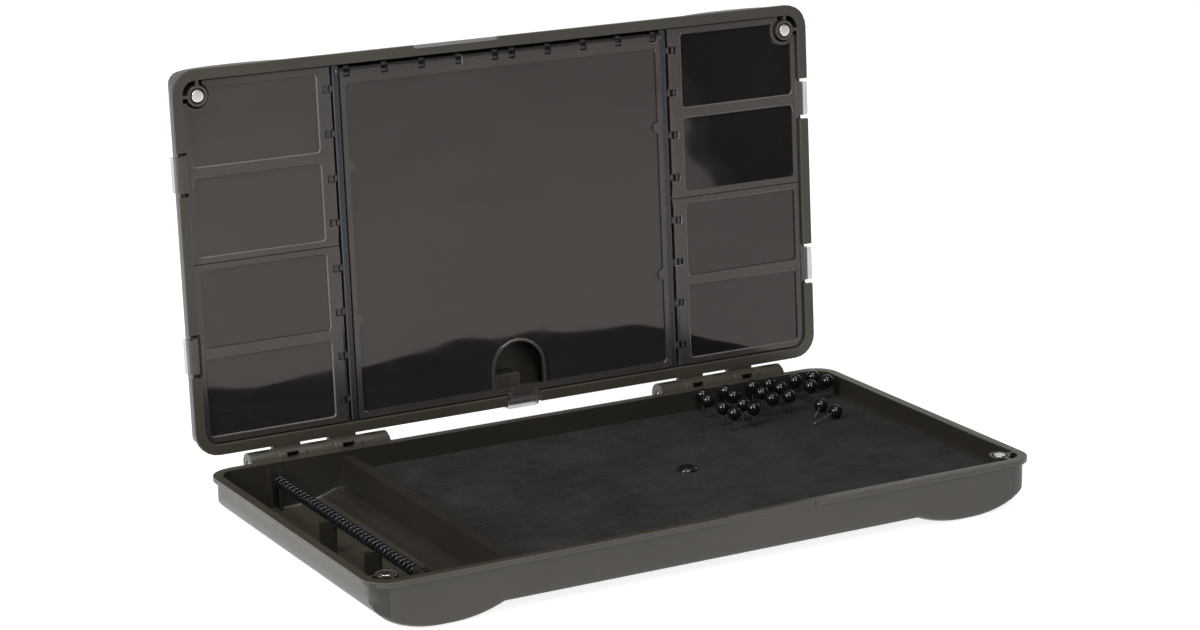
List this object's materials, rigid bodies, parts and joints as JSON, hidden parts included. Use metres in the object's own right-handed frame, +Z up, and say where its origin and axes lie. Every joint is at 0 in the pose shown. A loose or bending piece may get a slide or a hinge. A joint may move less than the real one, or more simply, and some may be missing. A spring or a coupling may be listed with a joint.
{
  "type": "fishing rig box",
  "caption": "Shallow hinged tackle box: foam rig board, pins and line spring in the base, clear-flapped compartments in the lid.",
  "frame": {"origin": "middle of the opened box's bounding box, on the surface that it stands on", "axes": "+X across the box to the right, +Y from the front to the back, +Z up, with the lid open"},
  "size_m": [0.362, 0.2382, 0.2213],
  "materials": {
    "shell": "satin",
    "divider": "satin",
    "flap": "gloss",
    "foam": "matte",
    "black": "gloss",
    "wire": "satin",
    "steel": "polished",
    "magnet": "satin"
  },
  "bodies": {
    "base": {"base_shell": "shell", "rig_foam": "foam", "foam_stud": "black", "line_spring": "wire", "base_magnet_left": "magnet", "base_magnet_right": "magnet", "hinge_pin_left": "steel", "hinge_pin_right": "steel"},
    "lid": {"lid_shell": "shell", "lid_magnet_left": "magnet", "lid_magnet_right": "magnet", "side_divider_left": "divider", "side_divider_right": "divider", "centre_frame": "divider"},
    "side_flap_left_upper": {"side_flap_left_upper": "flap"},
    "side_flap_left_lower": {"side_flap_left_lower": "flap"},
    "side_flap_right_upper": {"side_flap_right_upper": "flap"},
    "side_flap_right_lower": {"side_flap_right_lower": "flap"},
    "centre_flap": {"centre_flap": "flap"},
    "rig_pin_01": {"rig_pin_01": "black"},
    "rig_pin_02": {"rig_pin_02": "black"},
    "rig_pin_03": {"rig_pin_03": "black"},
    "rig_pin_04": {"rig_pin_04": "black"},
    "rig_pin_05": {"rig_pin_05": "black"},
    "rig_pin_06": {"rig_pin_06": "black"},
    "rig_pin_07": {"rig_pin_07": "black"},
    "rig_pin_08": {"rig_pin_08": "black"},
    "rig_pin_09": {"rig_pin_09": "black"},
    "rig_pin_10": {"rig_pin_10": "black"},
    "rig_pin_11": {"rig_pin_11": "black"},
    "rig_pin_12": {"rig_pin_12": "black"},
    "rig_pin_13": {"rig_pin_13": "black"},
    "rig_pin_14": {"rig_pin_14": "black"},
    "rig_pin_15": {"rig_pin_15": "black"},
    "rig_pin_16": {"rig_pin_16": "black"},
    "rig_pin_17": {"rig_pin_17": "black"},
    "rig_pin_18": {"rig_pin_18": "black"},
    "loose_pin_1": {"loose_pin_1": "black"},
    "loose_pin_2": {"loose_pin_2": "black"}
  },
  "joints": [
    {"name": "lid_hinge", "type": "hinge", "parent": "base", "child": "lid", "pos_m": [0, 0.07873, 0.024], "axis": [-1, 0, 0], "range_deg": [-93.43, 0]},
    {"name": "side_flap_left_upper_hinge", "type": "hinge", "parent": "lid", "child": "side_flap_left_upper", "pos_m": [-0.0975, 0.09132, 0.12548], "axis": [0, 0.0598, 0.9982], "range_deg": [0, 90]},
    {"name": "side_flap_left_lower_hinge", "type": "hinge", "parent": "lid", "child": "side_flap_left_lower", "pos_m": [-0.0975, 0.09132, 0.12548], "axis": [0, 0.0598, 0.9982], "range_deg": [0, 90]},
    {"name": "side_flap_right_upper_hinge", "type": "hinge", "parent": "lid", "child": "side_flap_right_upper", "pos_m": [0.0975, 0.09132, 0.12548], "axis": [0, -0.0598, -0.9982], "range_deg": [0, 90]},
    {"name": "side_flap_right_lower_hinge", "type": "hinge", "parent": "lid", "child": "side_flap_right_lower", "pos_m": [0.0975, 0.09132, 0.12548], "axis": [0, -0.0598, -0.9982], "range_deg": [0, 90]},
    {"name": "centre_flap_hinge", "type": "hinge", "parent": "lid", "child": "centre_flap", "pos_m": [0, 0.09651, 0.21207], "axis": [-1, 0, 0], "range_deg": [0, 100]},
    {"name": "rig_pin_01_pull", "type": "slide", "parent": "base", "child": "rig_pin_01", "axis": [0, 0, 1], "range_m": [0, 0.008]},
    {"name": "rig_pin_02_pull", "type": "slide", "parent": "base", "child": "rig_pin_02", "axis": [0, 0, 1], "range_m": [0, 0.008]},
    {"name": "rig_pin_03_pull", "type": "slide", "parent": "base", "child": "rig_pin_03", "axis": [0, 0, 1], "range_m": [0, 0.008]},
    {"name": "rig_pin_04_pull", "type": "slide", "parent": "base", "child": "rig_pin_04", "axis": [0, 0, 1], "range_m": [0, 0.008]},
    {"name": "rig_pin_05_pull", "type": "slide", "parent": "base", "child": "rig_pin_05", "axis": [0, 0, 1], "range_m": [0, 0.008]},
    {"name": "rig_pin_06_pull", "type": "slide", "parent": "base", "child": "rig_pin_06", "axis": [0, 0, 1], "range_m": [0, 0.008]},
    {"name": "rig_pin_07_pull", "type": "slide", "parent": "base", "child": "rig_pin_07", "axis": [0, 0, 1], "range_m": [0, 0.008]},
    {"name": "rig_pin_08_pull", "type": "slide", "parent": "base", "child": "rig_pin_08", "axis": [0, 0, 1], "range_m": [0, 0.008]},
    {"name": "rig_pin_09_pull", "type": "slide", "parent": "base", "child": "rig_pin_09", "axis": [0, 0, 1], "range_m": [0, 0.008]},
    {"name": "rig_pin_10_pull", "type": "slide", "parent": "base", "child": "rig_pin_10", "axis": [0, 0, 1], "range_m": [0, 0.008]},
    {"name": "rig_pin_11_pull", "type": "slide", "parent": "base", "child": "rig_pin_11", "axis": [0, 0, 1], "range_m": [0, 0.008]},
    {"name": "rig_pin_12_pull", "type": "slide", "parent": "base", "child": "rig_pin_12", "axis": [0, 0, 1], "range_m": [0, 0.008]},
    {"name": "rig_pin_13_pull", "type": "slide", "parent": "base", "child": "rig_pin_13", "axis": [0, 0, 1], "range_m": [0, 0.008]},
    {"name": "rig_pin_14_pull", "type": "slide", "parent": "base", "child": "rig_pin_14", "axis": [0, 0, 1], "range_m": [0, 0.008]},
    {"name": "rig_pin_15_pull", "type": "slide", "parent": "base", "child": "rig_pin_15", "axis": [0, 0, 1], "range_m": [0, 0.008]},
    {"name": "rig_pin_16_pull", "type": "slide", "parent": "base", "child": "rig_pin_16", "axis": [0, 0, 1], "range_m": [0, 0.008]},
    {"name": "rig_pin_17_pull", "type": "slide", "parent": "base", "child": "rig_pin_17", "axis": [0, 0, 1], "range_m": [0, 0.008]},
    {"name": "rig_pin_18_pull", "type": "slide", "parent": "base", "child": "rig_pin_18", "axis": [0, 0, 1], "range_m": [0, 0.008]},
    {"name": "loose_pin_1_pull", "type": "slide", "parent": "base", "child": "loose_pin_1", "axis": [0, 0, 1], "range_m": [0, 0.008]},
    {"name": "loose_pin_2_pull", "type": "slide", "parent": "base", "child": "loose_pin_2", "axis": [0, 0, 1], "range_m": [0, 0.008]}
  ]
}
